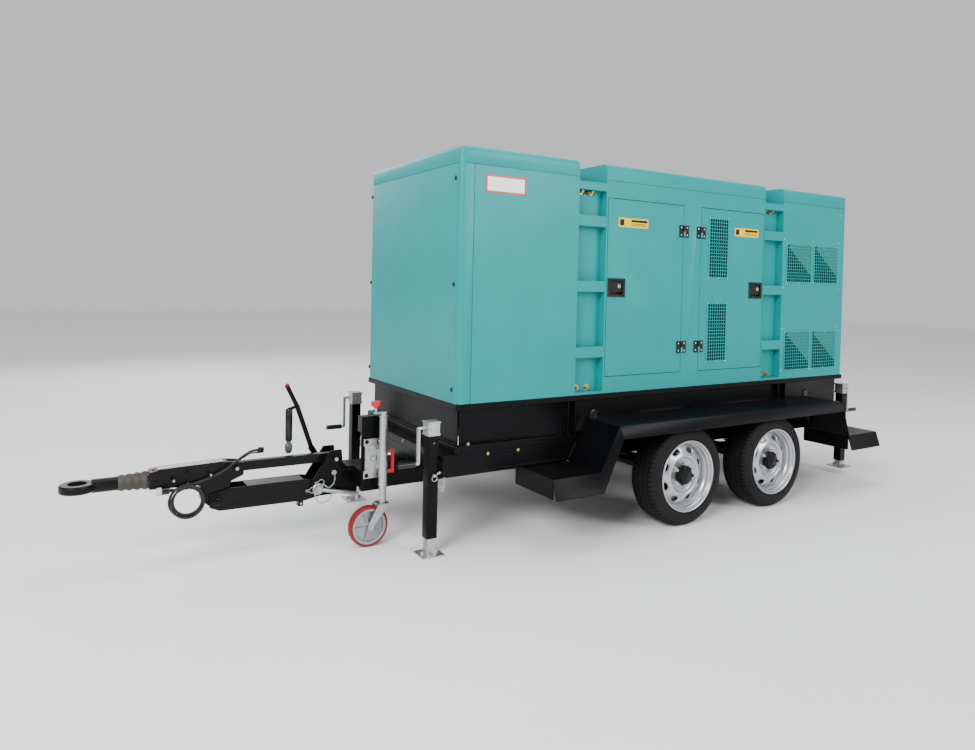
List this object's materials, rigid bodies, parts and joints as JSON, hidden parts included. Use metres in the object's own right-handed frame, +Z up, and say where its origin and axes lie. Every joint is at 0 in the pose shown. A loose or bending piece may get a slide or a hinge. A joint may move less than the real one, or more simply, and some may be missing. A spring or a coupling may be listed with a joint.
{
  "type": "towable diesel generator",
  "caption": "Silenced diesel generator in a box canopy on a tandem-axle trailer with an adjustable drawbar, jockey wheel and corner jacks.",
  "frame": {"origin": "on the ground, at the middle of the overall length and width", "axes": "+X forwards to the tow eye, +Y to the left-hand side of the trailer, +Z up"},
  "size_m": [5.6349, 1.924, 2.223],
  "materials": {
    "black_paint": "satin",
    "teal_paint": "textured powder coat, satin",
    "black_casting": "painted black",
    "tank_steel": "satin",
    "engine_casting": "painted",
    "alternator_casting": "painted",
    "radiator_core": "black finned",
    "silencer_steel": "brushed",
    "battery_case": "moulded",
    "cabinet_paint": "powder coat",
    "axle_steel": "satin",
    "tyre": "rubber",
    "rim_steel": "silver paint",
    "zinc_plate": "galvanised",
    "latch_plastic": "moulded",
    "jockey_tyre": "polyurethane tread",
    "bellows_rubber": "matt",
    "cable_sheath": "matt",
    "plug_body": "moulded"
  },
  "bodies": {
    "trailer": {"chassis_frame": "black_paint", "spine_beam": "black_paint", "base_frame": "black_paint", "fuel_tank": "tank_steel", "canopy_front": "teal_paint", "canopy_middle": "teal_paint", "canopy_rear": "teal_paint", "lifting_columns": "teal_paint", "engine": "engine_casting", "alternator": "alternator_casting", "radiator": "radiator_core", "silencer": "silencer_steel", "battery": "battery_case", "control_cabinet": "cabinet_paint", "mudguards": "black_paint", "leaf_springs": "black_paint", "axles": "axle_steel"},
    "wheel_front_left": {"tyre_front_left": "tyre", "rim_front_left": "rim_steel"},
    "wheel_front_right": {"tyre_front_right": "tyre", "rim_front_right": "rim_steel"},
    "wheel_rear_left": {"tyre_rear_left": "tyre", "rim_rear_left": "rim_steel"},
    "wheel_rear_right": {"tyre_rear_right": "tyre", "rim_rear_right": "rim_steel"},
    "jack_front_left": {"jack_front_left": "black_paint"},
    "leg_front_left": {"leg_front_left": "zinc_plate"},
    "crank_front_left": {"crank_front_left": "zinc_plate"},
    "jack_front_right": {"jack_front_right": "black_paint"},
    "leg_front_right": {"leg_front_right": "zinc_plate"},
    "crank_front_right": {"crank_front_right": "zinc_plate"},
    "jack_rear_left": {"jack_rear_left": "black_paint"},
    "leg_rear_left": {"leg_rear_left": "zinc_plate"},
    "crank_rear_left": {"crank_rear_left": "zinc_plate"},
    "jack_rear_right": {"jack_rear_right": "black_paint"},
    "leg_rear_right": {"leg_rear_right": "zinc_plate"},
    "crank_rear_right": {"crank_rear_right": "zinc_plate"},
    "door_front_left": {"door_front_left": "teal_paint"},
    "latch_front_left": {"latch_front_left": "latch_plastic"},
    "door_front_right": {"door_front_right": "teal_paint"},
    "latch_front_right": {"latch_front_right": "latch_plastic"},
    "door_rear_left": {"door_rear_left": "teal_paint"},
    "latch_rear_left": {"latch_rear_left": "latch_plastic"},
    "door_rear_right": {"door_rear_right": "teal_paint"},
    "latch_rear_right": {"latch_rear_right": "latch_plastic"},
    "rear_door": {"rear_door": "teal_paint"},
    "jockey_tube": {"jockey_tube": "zinc_plate"},
    "jockey_leg": {"jockey_leg": "zinc_plate"},
    "jockey_fork": {"jockey_fork": "zinc_plate"},
    "jockey_wheel": {"jockey_wheel": "jockey_tyre"},
    "jockey_crank": {"jockey_crank": "zinc_plate"},
    "drawbar_arm": {"drawbar_arm": "black_paint"},
    "overrun_head": {"overrun_head": "black_casting", "bellows": "bellows_rubber", "cable": "cable_sheath", "cable_coil": "cable_sheath", "cable_plug": "plug_body"},
    "tow_eye": {"tow_eye": "black_casting"},
    "drawbar_link": {"drawbar_link": "black_paint"},
    "brake_lever": {"brake_lever": "black_paint"}
  },
  "joints": [
    {"name": "wheel_front_left_spin", "type": "hinge", "parent": "trailer", "child": "wheel_front_left", "pos_m": [-0.5025, 0.82, 0.31], "axis": [0, 1, 0], "continuous": true},
    {"name": "wheel_front_right_spin", "type": "hinge", "parent": "trailer", "child": "wheel_front_right", "pos_m": [-0.5025, -0.82, 0.31], "axis": [0, 1, 0], "continuous": true},
    {"name": "wheel_rear_left_spin", "type": "hinge", "parent": "trailer", "child": "wheel_rear_left", "pos_m": [-1.3275, 0.82, 0.31], "axis": [0, 1, 0], "continuous": true},
    {"name": "wheel_rear_right_spin", "type": "hinge", "parent": "trailer", "child": "wheel_rear_right", "pos_m": [-1.3275, -0.82, 0.31], "axis": [0, 1, 0], "continuous": true},
    {"name": "jack_front_left_swing", "type": "hinge", "parent": "trailer", "child": "jack_front_left", "pos_m": [1.1005, 0.567, 0.48], "axis": [1, 0, 0], "range_deg": [0, 90]},
    {"name": "leg_front_left_slide", "type": "slide", "parent": "jack_front_left", "child": "leg_front_left", "axis": [0, 0, 1], "range_m": [0, 0.065]},
    {"name": "crank_front_left_turn", "type": "hinge", "parent": "jack_front_left", "child": "crank_front_left", "pos_m": [1.1005, 0.567, 0.69], "axis": [1, 0, 0], "range_deg": [0, 469]},
    {"name": "jack_front_right_swing", "type": "hinge", "parent": "trailer", "child": "jack_front_right", "pos_m": [1.1005, -0.567, 0.48], "axis": [-1, 0, 0], "range_deg": [0, 90]},
    {"name": "leg_front_right_slide", "type": "slide", "parent": "jack_front_right", "child": "leg_front_right", "axis": [0, 0, 1], "range_m": [0, 0.065]},
    {"name": "crank_front_right_turn", "type": "hinge", "parent": "jack_front_right", "child": "crank_front_right", "pos_m": [1.1005, -0.567, 0.69], "axis": [1, 0, 0], "range_deg": [0, 469]},
    {"name": "jack_rear_left_swing", "type": "hinge", "parent": "trailer", "child": "jack_rear_left", "pos_m": [-2.6225, 0.567, 0.48], "axis": [1, 0, 0], "range_deg": [0, 90]},
    {"name": "leg_rear_left_slide", "type": "slide", "parent": "jack_rear_left", "child": "leg_rear_left", "axis": [0, 0, 1], "range_m": [-0.05, 0.025]},
    {"name": "crank_rear_left_turn", "type": "hinge", "parent": "jack_rear_left", "child": "crank_rear_left", "pos_m": [-2.6225, 0.567, 0.69], "axis": [1, 0, 0], "range_deg": [-361, 181]},
    {"name": "jack_rear_right_swing", "type": "hinge", "parent": "trailer", "child": "jack_rear_right", "pos_m": [-2.6225, -0.567, 0.48], "axis": [-1, 0, 0], "range_deg": [0, 90]},
    {"name": "leg_rear_right_slide", "type": "slide", "parent": "jack_rear_right", "child": "leg_rear_right", "axis": [0, 0, 1], "range_m": [-0.05, 0.025]},
    {"name": "crank_rear_right_turn", "type": "hinge", "parent": "jack_rear_right", "child": "crank_rear_right", "pos_m": [-2.6225, -0.567, 0.69], "axis": [1, 0, 0], "range_deg": [-361, 181]},
    {"name": "door_front_left_swing", "type": "hinge", "parent": "trailer", "child": "door_front_left", "pos_m": [-0.7115, 0.635, 1.465], "axis": [0, 0, 1], "range_deg": [0, 95]},
    {"name": "latch_front_left_pull", "type": "hinge", "parent": "door_front_left", "child": "latch_front_left", "pos_m": [-0.1215, 0.621, 1.498], "axis": [1, 0, 0], "range_deg": [0, 35], "stiffness_Nm_per_rad": 0.6, "springref_deg": -11.46},
    {"name": "door_front_right_swing", "type": "hinge", "parent": "trailer", "child": "door_front_right", "pos_m": [-0.7115, -0.635, 1.465], "axis": [0, 0, -1], "range_deg": [0, 95]},
    {"name": "latch_front_right_pull", "type": "hinge", "parent": "door_front_right", "child": "latch_front_right", "pos_m": [-0.1215, -0.621, 1.498], "axis": [-1, 0, 0], "range_deg": [0, 35], "stiffness_Nm_per_rad": 0.6, "springref_deg": -11.46},
    {"name": "door_rear_left_swing", "type": "hinge", "parent": "trailer", "child": "door_rear_left", "pos_m": [-0.8745, 0.635, 1.465], "axis": [0, 0, -1], "range_deg": [0, 95]},
    {"name": "latch_rear_left_pull", "type": "hinge", "parent": "door_rear_left", "child": "latch_rear_left", "pos_m": [-1.4415, 0.621, 1.498], "axis": [1, 0, 0], "range_deg": [0, 35], "stiffness_Nm_per_rad": 0.6, "springref_deg": -11.46},
    {"name": "door_rear_right_swing", "type": "hinge", "parent": "trailer", "child": "door_rear_right", "pos_m": [-0.8745, -0.635, 1.465], "axis": [0, 0, 1], "range_deg": [0, 95]},
    {"name": "latch_rear_right_pull", "type": "hinge", "parent": "door_rear_right", "child": "latch_rear_right", "pos_m": [-1.4415, -0.621, 1.498], "axis": [-1, 0, 0], "range_deg": [0, 35], "stiffness_Nm_per_rad": 0.6, "springref_deg": -11.46},
    {"name": "rear_door_swing", "type": "hinge", "parent": "trailer", "child": "rear_door", "pos_m": [-2.5355, -0.3, 1.5], "axis": [0, 0, 1], "range_deg": [0, 110]},
    {"name": "jockey_swing", "type": "hinge", "parent": "trailer", "child": "jockey_tube", "pos_m": [1.3035, 0.24, 0.475], "axis": [0, -1, 0], "range_deg": [0, 45]},
    {"name": "jockey_lift", "type": "slide", "parent": "jockey_tube", "child": "jockey_leg", "axis": [0, 0, 1], "range_m": [0, 0.08]},
    {"name": "jockey_crank_turn", "type": "hinge", "parent": "jockey_tube", "child": "jockey_crank", "pos_m": [1.2605, 0.292, 0.73], "axis": [0, 0, 1], "range_deg": [0, 1441]},
    {"name": "jockey_swivel", "type": "hinge", "parent": "jockey_leg", "child": "jockey_fork", "pos_m": [1.2605, 0.292, 0.25], "axis": [0, 0, 1], "continuous": true},
    {"name": "jockey_roll", "type": "hinge", "parent": "jockey_fork", "child": "jockey_wheel", "pos_m": [1.3435, 0.292, 0.1125], "axis": [0, 1, 0], "continuous": true},
    {"name": "arm_lift", "type": "hinge", "parent": "trailer", "child": "drawbar_arm", "pos_m": [1.5595, 0, 0.292], "axis": [0, -1, 0], "range_deg": [-15, 18]},
    {"name": "head_level", "type": "hinge", "parent": "drawbar_arm", "child": "overrun_head", "pos_m": [2.1005, 0, 0.296], "axis": [0, -1, 0], "range_deg": [-18, 15]},
    {"name": "link_swing", "type": "hinge", "parent": "trailer", "child": "drawbar_link", "pos_m": [1.4575, 0, 0.451], "axis": [0, -1, 0], "range_deg": [-15, 18]},
    {"name": "eye_slide", "type": "slide", "parent": "overrun_head", "child": "tow_eye", "axis": [1, 0, 0], "range_m": [-0.075, 0], "stiffness_N_per_m": 4000, "springref_m": 0.02, "deforming": ["bellows"]},
    {"name": "brake_lever_pull", "type": "hinge", "parent": "trailer", "child": "brake_lever", "pos_m": [1.5175, -0.094, 0.44], "axis": [0, 1, 0], "range_deg": [0, 60]}
  ],
  "couplings": [
    {"joint": "crank_front_left_turn", "follows": "leg_front_left_slide", "rad_per_m": 125.66},
    {"joint": "crank_front_right_turn", "follows": "leg_front_right_slide", "rad_per_m": 125.66},
    {"joint": "crank_rear_left_turn", "follows": "leg_rear_left_slide", "rad_per_m": 125.66},
    {"joint": "crank_rear_right_turn", "follows": "leg_rear_right_slide", "rad_per_m": 125.66},
    {"joint": "jockey_crank_turn", "follows": "jockey_lift", "rad_per_m": 314.16},
    {"joint": "head_level", "follows": "arm_lift", "ratio": -1},
    {"joint": "link_swing", "follows": "arm_lift", "ratio": 1}
  ]
}
